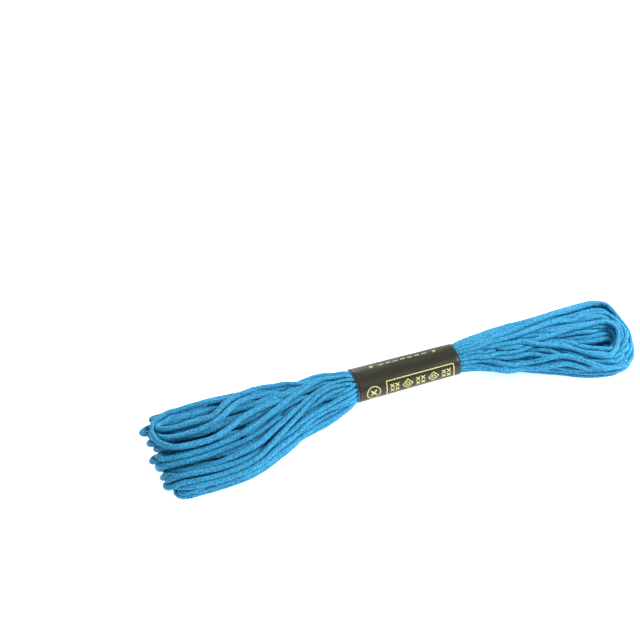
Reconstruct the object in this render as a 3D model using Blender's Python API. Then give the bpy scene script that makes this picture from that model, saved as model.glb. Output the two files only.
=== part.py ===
"""A skein of embroidery floss: a wound ring of six-strand cotton, drawn together by a paper label band.

Metres, +Z up. The skein lies along X on the plane z = 0, its longer and nearer end at -X and its front at -Y.
The floss is wound as one flat ring of many loops. Squeezed together at the middle, the ring becomes two
legs that lie against each other, and its two ends stay open as narrow eyes. The ring takes a quarter turn
through the band: at -X its eye lies on edge, at +X it opens upwards.
"""

import math
from collections import namedtuple

import bmesh
import bpy
import numpy as np

MM = 0.001

# How far the ring's two ends reach along X from the middle of the band, outside and inside their loops.
# front_lead is how much further along X the front of an end lies than its middle does.
End = namedtuple("End", "outer_reach inner_reach front_lead")
LEFT_END = End(outer_reach=-75.3 * MM, inner_reach=-71 * MM, front_lead=2.0 * MM)
RIGHT_END = End(outer_reach=67.4 * MM, inner_reach=63 * MM, front_lead=2.5 * MM)

# Cross-sections of the whole ring, in millimetres and degrees. twist turns the slit between the two legs:
# at 0 one leg lies on the other, at 90 they lie side by side. tilt rolls the whole section, its back upwards.
# The loops turn round beyond the first and the last section.
Section = namedtuple("Section", "x mid_y mid_z half_width half_height twist tilt half_gap squareness ridge")
SECTIONS = (
    Section(x=-65, mid_y=-6.7, mid_z=4.9, half_width=13.2, half_height=4.7, twist=0, tilt=9,
            half_gap=0.9, squareness=2.8, ridge=0.35),
    Section(x=-54, mid_y=-6.4, mid_z=4.9, half_width=12.6, half_height=4.9, twist=0, tilt=9,
            half_gap=0.8, squareness=2.8, ridge=0.35),
    Section(x=-42, mid_y=-4.5, mid_z=5.2, half_width=10.3, half_height=4.9, twist=0, tilt=8,
            half_gap=0.5, squareness=2.6, ridge=0.35),
    Section(x=-30, mid_y=-1.9, mid_z=5.7, half_width=7.3, half_height=4.7, twist=5, tilt=5,
            half_gap=0.25, squareness=2.4, ridge=0.3),
    Section(x=-18.6, mid_y=-0.6, mid_z=5.9, half_width=5.7, half_height=4.5, twist=15, tilt=0,
            half_gap=0.18, squareness=2.2, ridge=0.2),
    Section(x=-16.4, mid_y=0.0, mid_z=6.2, half_width=3.4, half_height=2.5, twist=20, tilt=0,
            half_gap=0.18, squareness=2.2, ridge=0),
    Section(x=16.4, mid_y=0.0, mid_z=6.2, half_width=3.4, half_height=2.5, twist=70, tilt=0,
            half_gap=0.18, squareness=2.2, ridge=0),
    Section(x=18.6, mid_y=0.2, mid_z=6.1, half_width=5.0, half_height=4.2, twist=75, tilt=0,
            half_gap=0.18, squareness=2.2, ridge=0.2),
    Section(x=31, mid_y=-0.6, mid_z=5.4, half_width=8.2, half_height=4.7, twist=85, tilt=0,
            half_gap=0.3, squareness=2.4, ridge=0.3),
    Section(x=43, mid_y=-2.9, mid_z=5.0, half_width=11.4, half_height=4.9, twist=90, tilt=0,
            half_gap=0.6, squareness=2.6, ridge=0.35),
    Section(x=52, mid_y=-4.0, mid_z=4.8, half_width=13.2, half_height=4.8, twist=90, tilt=0,
            half_gap=1.4, squareness=2.6, ridge=0.35),
    Section(x=60, mid_y=-4.5, mid_z=4.7, half_width=14.1, half_height=4.6, twist=90, tilt=0,
            half_gap=2.1, squareness=2.6, ridge=0.35),
)

# Steps of the ring's mesh. Each ridge is one strand of the outer layer and takes three points.
LONGEST_STEP = 4.2 * MM
TURN_STEPS = 9
OUTER_RIDGES = 15
POINTS_PER_RIDGE = 3
INNER_POINTS = 5

# The label band: a paper strip, glued into a sleeve that is a little wider at its -X end.
BAND_LENGTH = 31.2 * MM
BAND_THICKNESS = 1.0 * MM
BAND_HALF_WIDTH = 4.95 * MM
BAND_HALF_HEIGHT = 4.0 * MM
BAND_FLARE = 0.035
BAND_MID_Y = 0.0 * MM
BAND_MID_Z = 6.2 * MM
BAND_SQUARENESS = 2.4
BAND_ROUND_STEPS = 40
BAND_LONG_STEPS = 4

FLOSS_BLUE = (0.021, 0.305, 0.597, 1.0)
BAND_INK = (0.038, 0.036, 0.028, 1.0)


def clear_scene():
    for obj in list(bpy.data.objects):
        bpy.data.objects.remove(obj)


def plain_material(name, colour, roughness):
    material = bpy.data.materials.new(name)
    material.use_nodes = True
    shader = material.node_tree.nodes["Principled BSDF"]
    shader.inputs["Base Color"].default_value = colour
    shader.inputs["Roughness"].default_value = roughness
    shader.inputs["Metallic"].default_value = 0.0
    return material


def eased(x, knots, values):
    """A smooth curve through the knots that never swings past them."""
    knots = np.asarray(knots, float)
    values = np.asarray(values, float)
    rises = np.diff(values) / np.diff(knots)
    before, after = rises[:-1], rises[1:]
    together = before + after
    inner = np.where(before * after > 0, 2 * before * after / np.where(together == 0, 1, together), 0)
    slopes = np.concatenate([[0], inner, [0]])
    i = np.clip(np.searchsorted(knots, x) - 1, 0, len(knots) - 2)
    step = knots[i + 1] - knots[i]
    t = np.clip((x - knots[i]) / step, 0, 1)
    return (
        (1 + 2 * t) * (1 - t) ** 2 * values[i]
        + t * (1 - t) ** 2 * step * slopes[i]
        + t**2 * (3 - 2 * t) * values[i + 1]
        + t**2 * (t - 1) * step * slopes[i + 1]
    )


def section_at(x):
    """The section table read at a place along the skein, in metres and radians."""
    knots = [row.x * MM for row in SECTIONS]
    read = {}
    for name in Section._fields:
        read[name] = float(eased(x, knots, [getattr(row, name) for row in SECTIONS]))
    for name in ("mid_y", "mid_z", "half_width", "half_height", "half_gap", "ridge"):
        read[name] *= MM
    for name in ("twist", "tilt"):
        read[name] = math.radians(read[name])
    return Section(**{**read, "x": x})


def leg_outline(section):
    """One leg's outline, as (depth, lift, across): from 0 to 1 outwards, away from the slit, and along it."""
    lean = abs(math.sin(section.twist))
    lift_size = (1 - lean) * section.half_height + lean * section.half_width
    across_size = (1 - lean) * section.half_width + lean * section.half_height
    slit = section.half_gap / lift_size
    angle = np.linspace(0, math.pi, 240)
    across = -np.sign(np.cos(angle)) * np.abs(np.cos(angle)) ** (2 / section.squareness)
    depth = np.sin(angle) ** (2 / section.squareness)
    lift = slit + (1 - slit) * depth
    steps = np.hypot(np.diff(across) * across_size, np.diff(lift) * lift_size)
    along = np.concatenate([[0], np.cumsum(steps)])
    even = np.linspace(0, along[-1], OUTER_RIDGES * POINTS_PER_RIDGE + 1)
    outer = list(zip(*(np.interp(even, along, values) for values in (depth, lift, across))))
    inner = [(0.0, slit, across) for across in np.linspace(1, -1, INNER_POINTS + 2)[1:-1]]
    return outer + inner


def placed(section, lift, across):
    """The y and z of a point of the section, from its place off the slit and along it, in half sizes."""
    turn_cos, turn_sin = math.cos(section.twist), math.sin(section.twist)
    y = (across * turn_cos - lift * turn_sin) * section.half_width
    z = (across * turn_sin + lift * turn_cos) * section.half_height
    roll_cos, roll_sin = math.cos(section.tilt), math.sin(section.tilt)
    return section.mid_y + y * roll_cos - z * roll_sin, section.mid_z + y * roll_sin + z * roll_cos


def leg_stops():
    """Where a leg is cut into steps: at every section, and between them by the longest step."""
    stops = [SECTIONS[0].x * MM]
    for row, following in zip(SECTIONS, SECTIONS[1:]):
        count = max(2, math.ceil((following.x - row.x) * MM / LONGEST_STEP))
        stops += list(np.linspace(row.x, following.x, count + 1)[1:] * MM)
    return np.array(stops)


def ring_stops():
    """The ring's steps, as (end, x, reach, side): one leg, a turn, the other leg and a turn."""
    legs = leg_stops()
    turns = np.linspace(0, math.pi, TURN_STEPS + 1)[1:-1]
    there = [(RIGHT_END, x, 0.0, 1.0) for x in legs]
    round_right = [(RIGHT_END, legs[-1], math.sin(a), math.cos(a)) for a in turns]
    back = [(LEFT_END, x, 0.0, -1.0) for x in legs[::-1]]
    round_left = [(LEFT_END, legs[0], math.sin(a), -math.cos(a)) for a in turns]
    return there + round_right + back + round_left


def ring_points():
    """Every point of the ring, one outline per stop, with the height of its ridge."""
    rows, ridges = [], []
    for end, x, reach, side in ring_stops():
        section = section_at(x)
        row, heights = [], []
        for i, (depth, lift, across) in enumerate(leg_outline(section)):
            tip = end.inner_reach + depth * (end.outer_reach - end.inner_reach)
            y, z = placed(section, lift * side, across)
            frontness = (section.mid_y - y) / section.half_width
            row.append((x + (tip - x + frontness * end.front_lead) * reach, y, z))
            on_strand = i % POINTS_PER_RIDGE and i < OUTER_RIDGES * POINTS_PER_RIDGE
            heights.append(section.ridge if on_strand else 0.0)
        rows.append(row)
        ridges.append(heights)
    return rows, ridges


def closed_grid(rows, round_ends):
    """A bmesh of the rows, each joined to the next, and where round_ends is set the last to the first."""
    mesh = bmesh.new()
    grid = [[mesh.verts.new(point) for point in row] for row in rows]
    count = len(grid) if round_ends else len(grid) - 1
    for i in range(count):
        here, there = grid[i], grid[(i + 1) % len(grid)]
        for j in range(len(here)):
            k = (j + 1) % len(here)
            mesh.faces.new((here[j], here[k], there[k], there[j]))
    return mesh, grid


def finished(name, mesh, material, sharp_deg):
    bmesh.ops.recalc_face_normals(mesh, faces=mesh.faces)
    data = bpy.data.meshes.new(name)
    mesh.to_mesh(data)
    mesh.free()
    data.shade_smooth()
    data.set_sharp_from_angle(angle=math.radians(sharp_deg))
    data.materials.append(material)
    obj = bpy.data.objects.new(name, data)
    bpy.context.scene.collection.objects.link(obj)
    return obj


def build_hank():
    rows, ridges = ring_points()
    mesh, grid = closed_grid(rows, round_ends=True)
    bmesh.ops.recalc_face_normals(mesh, faces=mesh.faces)
    mesh.normal_update()
    raised = [(vert, vert.normal.copy(), height) for verts, heights in zip(grid, ridges)
              for vert, height in zip(verts, heights)]
    for vert, normal, height in raised:
        vert.co += normal * height
        vert.co.z = max(vert.co.z, 0.0)
    return finished("floss_hank", mesh, plain_material("floss", FLOSS_BLUE, 0.6), sharp_deg=60)


def band_outline(x, inset):
    """One ring of the sleeve's outline, set in from its outer face."""
    flare = 1 - BAND_FLARE * x / (BAND_LENGTH / 2)
    points = []
    for i in range(BAND_ROUND_STEPS):
        angle = math.tau * i / BAND_ROUND_STEPS
        across, up = math.cos(angle), math.sin(angle)
        power = 2 / BAND_SQUARENESS
        y = math.copysign(abs(across) ** power, across) * (BAND_HALF_WIDTH * flare - inset)
        z = math.copysign(abs(up) ** power, up) * (BAND_HALF_HEIGHT * flare - inset)
        points.append((x, BAND_MID_Y + y, BAND_MID_Z + z))
    return points


def build_band():
    stops = np.linspace(-BAND_LENGTH / 2, BAND_LENGTH / 2, BAND_LONG_STEPS + 1)
    outside = [band_outline(x, 0.0) for x in stops]
    inside = [band_outline(x, BAND_THICKNESS) for x in stops[::-1]]
    mesh, _ = closed_grid(outside + inside, round_ends=True)
    return finished("label_band", mesh, plain_material("band_paper", BAND_INK, 0.45), sharp_deg=40)


def centre_on_floor(objects):
    """Moves the meshes together, so that their shared box is centred on the origin and stands on z = 0."""
    corners = np.array([vert.co for obj in objects for vert in obj.data.vertices])
    low, high = corners.min(axis=0), corners.max(axis=0)
    for obj in objects:
        for vert in obj.data.vertices:
            vert.co.x -= (low[0] + high[0]) / 2
            vert.co.y -= (low[1] + high[1]) / 2
            vert.co.z -= low[2]


clear_scene()
centre_on_floor([build_hank(), build_band()])
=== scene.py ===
# %% [markdown]
# # A skein of embroidery floss in its paper band
#
# The real thing is about eight metres of soft cotton floss, wound into a flat ring of 28 loops, squeezed
# together at the middle and slipped through a paper band. The band holds it, and nothing else does: the two
# ends bulge, the loops lie loosely, and no two strands take quite the same way.
#
# There are quicker ways to fake it: a solid with a stripy bump map, or one curve copied 28 times. Both fail
# at the ends, where the eye looks first, because there the strands turn, cross and show their own
# thickness. So this lesson builds it the way it was made. One thread is laid out turn by turn, then pushed
# apart wherever it runs through itself, and only then given its twisted plies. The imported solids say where
# everything lies.

import math
from collections import namedtuple

import bpy
import numpy as np
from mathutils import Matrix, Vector


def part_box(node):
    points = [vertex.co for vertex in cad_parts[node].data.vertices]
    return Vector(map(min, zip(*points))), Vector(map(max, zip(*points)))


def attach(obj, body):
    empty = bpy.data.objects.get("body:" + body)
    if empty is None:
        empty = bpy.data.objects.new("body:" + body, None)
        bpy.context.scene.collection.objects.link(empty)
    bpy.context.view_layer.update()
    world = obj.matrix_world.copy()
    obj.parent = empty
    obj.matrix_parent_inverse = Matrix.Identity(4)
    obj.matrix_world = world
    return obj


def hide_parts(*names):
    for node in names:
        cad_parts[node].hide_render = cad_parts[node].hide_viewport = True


MM = 0.001

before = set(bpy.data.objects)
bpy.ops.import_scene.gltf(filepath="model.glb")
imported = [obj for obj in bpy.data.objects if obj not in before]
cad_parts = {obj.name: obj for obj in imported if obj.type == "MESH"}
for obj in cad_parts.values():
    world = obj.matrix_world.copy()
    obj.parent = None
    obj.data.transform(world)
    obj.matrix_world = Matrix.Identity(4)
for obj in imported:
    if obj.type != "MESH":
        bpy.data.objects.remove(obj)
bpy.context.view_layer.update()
band_low, band_high = (np.array(corner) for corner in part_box("label_band"))

# %% [markdown]
# ## The sections of the hank
#
# A hank is easiest to describe by slicing it. Each row is one slice through the whole ring: where its
# middle lies, how wide and high it is, how it leans and how square its corners are. At the -X end one leg
# of the ring lies on the other, so the eye there is a closed slit. At the +X end they lie side by side, and
# the eye opens upwards: its middle and its width are two columns more. The last column is the size of the
# floss, because cotton is soft and thinner where it is squeezed.

# %% The section table
Section = namedtuple("Section", "x mid_y mid_z half_width half_height tilt squareness eye eye_gap floss")
SECTIONS = (
    Section(x=-65, mid_y=-6.6, mid_z=4.9, half_width=13.0, half_height=4.7, tilt=9, squareness=2.7,
            eye=0, eye_gap=0, floss=1.66),
    Section(x=-54, mid_y=-6.4, mid_z=4.9, half_width=12.6, half_height=4.9, tilt=9, squareness=2.8,
            eye=0, eye_gap=0, floss=1.64),
    Section(x=-42, mid_y=-4.5, mid_z=5.2, half_width=10.3, half_height=4.9, tilt=8, squareness=2.6,
            eye=0, eye_gap=0, floss=1.60),
    Section(x=-30, mid_y=-1.9, mid_z=5.7, half_width=7.3, half_height=4.7, tilt=5, squareness=2.4,
            eye=0, eye_gap=0, floss=1.30),
    Section(x=-18.6, mid_y=-0.6, mid_z=5.9, half_width=5.7, half_height=4.5, tilt=0, squareness=2.2,
            eye=0, eye_gap=0, floss=1.16),
    Section(x=-15.6, mid_y=0.0, mid_z=6.2, half_width=4.8, half_height=3.85, tilt=0, squareness=2.2,
            eye=0, eye_gap=0, floss=1.10),
    Section(x=15.6, mid_y=0.0, mid_z=6.2, half_width=4.55, half_height=3.65, tilt=0, squareness=2.2,
            eye=0, eye_gap=0, floss=1.08),
    Section(x=18.6, mid_y=0.2, mid_z=6.1, half_width=5.0, half_height=4.2, tilt=0, squareness=2.2,
            eye=0, eye_gap=0, floss=1.22),
    Section(x=31, mid_y=-0.4, mid_z=5.9, half_width=7.9, half_height=4.4, tilt=0, squareness=2.4,
            eye=-1.5, eye_gap=0, floss=1.44),
    Section(x=43, mid_y=-2.4, mid_z=5.3, half_width=10.9, half_height=4.7, tilt=0, squareness=2.6,
            eye=-4.5, eye_gap=1.2, floss=1.48),
    Section(x=52, mid_y=-3.8, mid_z=4.8, half_width=13.2, half_height=4.8, tilt=0, squareness=3.0,
            eye=-8.6, eye_gap=5.8, floss=1.50),
    Section(x=60, mid_y=-4.3, mid_z=4.7, half_width=14.1, half_height=4.6, tilt=0, squareness=3.6,
            eye=-11.2, eye_gap=7.6, floss=1.46),
)
LEFT_TURN, RIGHT_TURN = SECTIONS[0].x, SECTIONS[-1].x
FIRST_RIGHT_TURN = 56.0

# At each end: how far the outer and the inner loops reach, how blunt a half turn is where it starts and
# where it stops (2 is an ellipse), how far the corners stay behind, and the size of the floss at the tips.
End = namedtuple("End", "outer_reach inner_reach start_blunt stop_blunt corner floss")
LEFT_END = End(outer_reach=-76.2, inner_reach=-74.6, start_blunt=2.6, stop_blunt=2.6, corner=8.5, floss=1.62)
RIGHT_END = End(outer_reach=67.3, inner_reach=64.0, start_blunt=1.9, stop_blunt=3.6, corner=0.3, floss=1.42)
BAND_MID = np.array([0.0, 0.0, 6.2])


def eased(x, knots, values):
    """A smooth curve through the knots that never swings past them."""
    knots, values = np.asarray(knots, float), np.asarray(values, float)
    rises = np.diff(values) / np.diff(knots)
    before, after = rises[:-1], rises[1:]
    together = np.where(before + after == 0, 1, before + after)
    inner = np.where(before * after > 0, 2 * before * after / together, 0)
    slopes = np.concatenate([[0], inner, [0]])
    i = np.clip(np.searchsorted(knots, x) - 1, 0, len(knots) - 2)
    step = knots[i + 1] - knots[i]
    t = np.clip((x - knots[i]) / step, 0, 1)
    rise_in, rise_out = t * (1 - t) ** 2 * step * slopes[i], t**2 * (t - 1) * step * slopes[i + 1]
    return (1 + 2 * t) * (1 - t) ** 2 * values[i] + t**2 * (3 - 2 * t) * values[i + 1] + rise_in + rise_out


def column(name, x):
    """One column of the section table, read at places along the skein."""
    return eased(x, [row.x for row in SECTIONS], [getattr(row, name) for row in SECTIONS])


def smooth_step(x, start, stop):
    """A share that rises from 0 at the start to 1 at the stop, slowly at both ends."""
    t = np.clip((x - start) / (stop - start), 0, 1)
    return t * t * (3 - 2 * t)


print(f"{len(SECTIONS)} sections, tips at {LEFT_END.outer_reach} and {RIGHT_END.outer_reach} mm")

# %% [markdown]
# ## Where each loop lies
#
# A winder lays the loops side by side and then comes back over them, so at the -X end the order runs out
# along the outer layer and home along the inner one, and each loop is a neighbour of the next. At the +X
# end the same loops are stacked from bottom to top in rows, round the eye. A place is two numbers, across
# and up, each from -1 to 1, so that the same places serve a thick slice and a thin one.

# %% The places
LOOPS = 28
OUTER_LOOPS = 18
BACK = OUTER_LOOPS  # the first loop of the inner layer, at the back
TOP, UNDER = 1, -1
LEFT_TWIST = math.radians(40)  # how far the layers have rolled over
INNER_SPREAD, INNER_LIFT = 0.86, 0.3
OUTLINE_STEPS = 2001
RIGHT_ROWS = {TOP: (6, 5, 5, 4, 4, 4), UNDER: (6, 3, 3, 7, 9)}  # loops in each row, from the bottom up
RIGHT_CROWD = 1.3  # how much the lower rows crowd towards the eye
RIGHT_SPREAD, RIGHT_SLOPE = 0.88, 0.15  # the rows reach this high, and close up towards the outside
ROW_SHIFT = 0.4
EYE_OPENS = (-0.5, 0.7)  # the heights between which the eye opens
GOLDEN = 0.618034  # the golden section deals out neighbours to places far apart


def squared(across, lift, squareness):
    """A place in a circle moved outwards to the like place in a circle with squarer corners."""
    size = np.hypot(across, lift) + 1e-9
    bulge = (np.abs(across / size) ** squareness + np.abs(lift / size) ** squareness) ** (-1 / squareness)
    return across * bulge, lift * bulge


def left_places(leg):
    """The outer layer, spaced evenly round the outside, and the inner one along the slit."""
    row = SECTIONS[1]
    angle = np.linspace(math.pi, 0, OUTLINE_STEPS) * leg + LEFT_TWIST
    across, up = squared(np.cos(angle), np.sin(angle), row.squareness)
    steps = np.hypot(np.diff(across) * row.half_width, np.diff(up) * row.half_height)
    along = np.concatenate([[0], np.cumsum(steps)])
    at = (np.arange(OUTER_LOOPS) + 0.5) / OUTER_LOOPS * along[-1]
    outer = [(float(np.interp(a, along, across)), float(np.interp(a, along, up))) for a in at]
    inner = []
    for q in np.linspace(INNER_SPREAD, -INNER_SPREAD, LOOPS - OUTER_LOOPS):
        lift = leg * INNER_LIFT
        a, u = squared(q * math.cos(LEFT_TWIST) - lift * math.sin(LEFT_TWIST),
                       q * math.sin(LEFT_TWIST) + lift * math.cos(LEFT_TWIST), row.squareness)
        inner.append((float(a), float(u)))
    return outer + inner


def right_places(leg):
    """Depth from the eye's wall, 0, to the outside, 1, and height, for loops stacked from front to back."""
    order = sorted(range(LOOPS), key=lambda loop: LEFT_PLACES[TOP][loop][0])
    places = [None] * LOOPS
    counts = RIGHT_ROWS[leg]
    heights = np.linspace(-RIGHT_SPREAD, RIGHT_SPREAD, len(counts))
    first = 0
    for n, (count, height) in enumerate(zip(counts, heights)):
        row = sorted(range(first, first + count), key=lambda rank: rank * GOLDEN % 1)
        shift = ROW_SHIFT / count if n % 2 == 0 and n < len(counts) - 1 else 0
        depths = np.linspace(shift, 1 - shift, count) ** (1 + RIGHT_CROWD * (1 - height) / 2)
        for depth, rank in zip(depths, row):
            places[order[rank]] = (float(depth), float(height))
        first += count
    return places


LEFT_PLACES = {leg: left_places(leg) for leg in (TOP, UNDER)}
RIGHT_PLACES = {leg: right_places(leg) for leg in (TOP, UNDER)}
print(f"{OUTER_LOOPS} loops outside and {LOOPS - OUTER_LOOPS} inside at -X, rows of {RIGHT_ROWS} at +X")

# %% [markdown]
# ## Strands that stray
#
# What makes a skein look real is the few strands that leave their lane. A loop at the back of the broad end
# has flopped over and lies face up on the others, two strands swing back over it, and four fan out across
# the neck. At the other end three strands wave round the eye and two cross over the neck behind it. They
# could be dragged into place by hand, but a list is easier to read and to change: each row names one leg of
# one loop and the places in millimetres that it passes through. Pulled tips are loops that reach further
# than the rest.

# %% The strays
Stray = namedtuple("Stray", "loop leg path")
STRAYS = (
    Stray(loop=BACK + 1, leg=TOP, path=(
        (-65, -9.8, 10.8), (-62.4, -10.1, 11.0), (-57.4, -9.3, 11.4), (-50.8, -6.7, 11.6), (-45, -5.0, 11.4),
        (-37, -2.9, 11.0), (-31, -1.0, 10.6))),
    Stray(loop=BACK, leg=UNDER, path=((-65, 5.2, 9.4), (-59.5, 4.7, 9.8), (-50, 4.0, 10.0), (-42, 3.8, 9.6))),
    Stray(loop=BACK, leg=TOP, path=(
        (-65, -2.9, 10.8), (-59, -3.1, 11.2), (-56.4, -2.5, 11.4), (-53.5, -0.1, 11.8), (-48.7, 2.0, 11.6),
        (-42, 3.2, 11.0), (-36.4, 3.0, 10.4))),
    Stray(loop=BACK + 2, leg=TOP, path=(
        (-65, -5.6, 10.4), (-61, -5.4, 10.8), (-57.6, -4.3, 11.2), (-53.4, -1.9, 11.6), (-50.4, 0.3, 11.6),
        (-47, 1.5, 11.3), (-41, 2.3, 10.8))),
    Stray(loop=9, leg=TOP, path=(
        (-65, -10.6, 8.6), (-50, -9.4, 9.3), (-43, -7.4, 10.0), (-36, -4.4, 10.7), (-30, -1.6, 11.0),
        (-24, 0.6, 10.9), (-19.5, 1.4, 10.4))),
    Stray(loop=6, leg=TOP, path=(
        (-65, -15.2, 7.2), (-50, -13.4, 8.2), (-43, -10.4, 9.3), (-37, -7.2, 10.1), (-31, -4.0, 10.7),
        (-25, -1.4, 10.8), (-19.5, -0.6, 10.4))),
    Stray(loop=4, leg=TOP, path=(
        (-65, -17.9, 5.6), (-50, -16.2, 6.6), (-43, -13.4, 7.8), (-37, -10.2, 8.8), (-31, -6.8, 9.7),
        (-25, -3.9, 10.2), (-19.5, -2.6, 10.0))),
    Stray(loop=12, leg=TOP, path=(
        (-65, -5.8, 9.2), (-50, -5.2, 9.8), (-43, -3.6, 10.5), (-36, -0.9, 11.0), (-30, 1.5, 11.0),
        (-24, 2.6, 10.6), (-19.5, 2.6, 10.0))),
    Stray(loop=18, leg=TOP, path=(
        (29.5, -6.0, 8.8), (35.8, -7.1, 9.6), (39.8, -7.3, 10.0), (44.8, -8.9, 10.0), (49.1, -12.0, 9.4),
        (53.4, -14.8, 8.4), (56.6, -16.4, 7.4))),
    Stray(loop=13, leg=TOP, path=(
        (33.4, -9.2, 6.8), (38.2, -10.5, 8.3), (42.9, -11.3, 9.0), (46.9, -13.0, 8.6), (51.5, -15.8, 7.2),
        (56.5, -17.2, 6.0))),
    Stray(loop=22, leg=TOP, path=(
        (32.0, -8.6, 5.6), (37.2, -11.0, 5.8), (42.4, -12.6, 6.8), (44.8, -13.4, 6.9), (47.9, -15.2, 6.4),
        (51.3, -16.4, 5.8))),
    Stray(loop=18, leg=UNDER, path=(
        (19.5, -0.8, 9.9), (25, -0.6, 10.4), (31, 0.4, 10.7), (37, 1.8, 10.6), (43, 3.2, 10.1),
        (50, 4.4, 9.3), (58, 5.2, 8.4))),
    Stray(loop=17, leg=UNDER, path=(
        (19.5, -2.0, 9.6), (26, -2.6, 10.3), (33, -2.2, 10.7), (39, -1.0, 10.6), (45, 0.6, 10.0),
        (51, 1.4, 9.3), (58, 1.4, 8.5))),
    Stray(loop=22, leg=UNDER, path=((37, 6.4, 7.1), (43, 6.5, 6.8), (50, 7.1, 6.4), (58, 7.5, 6.2))),
    Stray(loop=16, leg=UNDER, path=(
        (36.0, -3.4, 9.6), (43.2, -4.2, 9.8), (49, -3.6, 9.6), (57.5, -3.8, 9.3))),
)
STRAY_LEAVES = 13.0  # the way over which a strand leaves its lane, before the first of its places
PULLED_TIPS = {BACK - 4: -77.0, BACK - 2: -73.6, BACK - 1: -73.0, BACK: -74.4, BACK + 1: -73.8}


def strayed(loop, leg, x, y, z):
    """A leg's lane, bent to pass through its stray rows."""
    for stray in STRAYS:
        if (stray.loop, stray.leg) != (loop, leg):
            continue
        knots, ys, zs = zip(*sorted(stray.path))
        on_left = knots[0] < 0
        nearest = -knots[-1] if on_left else knots[0]
        away = smooth_step(np.abs(x), nearest - STRAY_LEAVES, nearest) * ((x < 0) == on_left)
        y = y + away * (eased(x, knots, ys) - y)
        z = z + away * (eased(x, knots, zs) - z)
    return y, z


print(f"{len(STRAYS)} legs stray from their lanes")

# %% [markdown]
# ## One thread, turn by turn
#
# Now the thread is laid: along the top leg, round the +X end, back along the other leg, and round the -X
# end into the next loop. A leg starts from its place at -X and moves over to its place at +X inside the
# band, where the ring takes its quarter turn.

# %% One leg
STEP = 1.0
LEG_X = np.arange(LEFT_TURN, RIGHT_TURN + STEP / 2, STEP)
MOVES_OVER = 18.0  # half the stretch, from the middle of the band, where a leg changes places


def leg_line(loop, leg):
    """One leg of one loop from -X to +X, as points in millimetres from the band's middle."""
    x = LEG_X
    radius = column("floss", x) / 2
    half_width, half_height = column("half_width", x) - radius, column("half_height", x) - radius
    left_y, left_z = (place * half for place, half in zip(LEFT_PLACES[leg][loop], (half_width, half_height)))
    depth, height = RIGHT_PLACES[leg][loop]
    height *= 1 - RIGHT_SLOPE * depth**2
    squareness = column("squareness", x)
    outside = -leg * (1 - abs(height) ** squareness) ** (1 / squareness) * half_width
    eye_gap = column("eye_gap", x) * smooth_step(height, *EYE_OPENS)
    wall = column("eye", x) - column("mid_y", x) - leg * (eye_gap / 2 + radius)
    right_y, right_z = wall + depth * (outside - wall), height * half_height
    change = smooth_step(x, -MOVES_OVER, MOVES_OVER)
    y, z = left_y + change * (right_y - left_y), left_z + change * (right_z - left_z)
    tilt = np.radians(column("tilt", x))
    y, z = y * np.cos(tilt) - z * np.sin(tilt), y * np.sin(tilt) + z * np.cos(tilt)
    y, z = strayed(loop, leg, x, column("mid_y", x) + y, column("mid_z", x) + z)
    return np.stack([x, y, z], 1)


print(f"{len(LEG_X)} points in a leg")

# %% [markdown]
# The half turns are half ellipses, made a little blunter. A winder's loops never end level, so chance moves
# each tip. Every end has dice of its own: a change to the loops at one end then leaves the other as it was.

# %% The half turns
TURN_POINTS = 30
TURN_T = np.linspace(0, math.pi, TURN_POINTS)[1:-1]
TIP_SPREAD = 0.5
CORNER_POWER = 4
LEFT_DICE, RIGHT_DICE = np.random.default_rng(14), np.random.default_rng(90)
LEFT_LUCK, RIGHT_LUCK = LEFT_DICE.normal(size=LOOPS), RIGHT_DICE.normal(size=LOOPS)


def half_turn(start, stop, end, reach):
    """The bend from one leg's last point to the next leg's first, round an end of the ring."""
    middle, half = (start + stop) / 2, (start - stop) / 2
    aside, ahead = np.cos(TURN_T), np.sin(TURN_T)
    power = 2 / np.where(aside > 0, end.start_blunt, end.stop_blunt)
    line = middle + (np.sign(aside) * np.abs(aside) ** power)[:, None] * half
    line[:, 0] = start[0] + (reach - start[0]) * ahead**power
    return line


def left_reach(loop):
    """How far a loop's tip comes at the -X end: less for inner loops and at the corners."""
    if loop in PULLED_TIPS:
        return PULLED_TIPS[loop]
    reach = LEFT_END.outer_reach if loop < OUTER_LOOPS else LEFT_END.inner_reach
    across = (LEFT_PLACES[TOP][loop][0] + LEFT_PLACES[UNDER][loop][0]) / 2
    behind = LEFT_END.corner * abs(across) ** CORNER_POWER
    return reach + TIP_SPREAD * LEFT_LUCK[loop] + LEFT_END.floss / 2 + behind


def right_turn(loop, top, under):
    """The two legs cut where the loop starts to turn, sooner for an inner loop, and the bend between them."""
    depth = (RIGHT_PLACES[TOP][loop][0] + RIGHT_PLACES[UNDER][loop][0]) / 2
    last = int(np.abs(LEG_X - (FIRST_RIGHT_TURN + depth * (RIGHT_TURN - FIRST_RIGHT_TURN))).argmin())
    height = RIGHT_PLACES[UNDER][loop][1]
    reach = RIGHT_END.inner_reach + depth * (RIGHT_END.outer_reach - RIGHT_END.inner_reach)
    behind = RIGHT_END.corner * abs(height) ** CORNER_POWER
    reach += TIP_SPREAD * RIGHT_LUCK[loop] - RIGHT_END.floss / 2 - behind
    top, under = top[: last + 1], under[: last + 1][::-1]
    return top, half_turn(top[-1], under[0], RIGHT_END, reach), under


reaches = [left_reach(loop) for loop in range(LOOPS)]
print(f"the tips at -X lie between {min(reaches):.1f} and {max(reaches):.1f} mm")

# %% [markdown]
# The legs and the half turns, joined in the order of winding, are the whole thread: one line of points, a
# millimetre apart, that starts and ends in the middle of the band.

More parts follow.
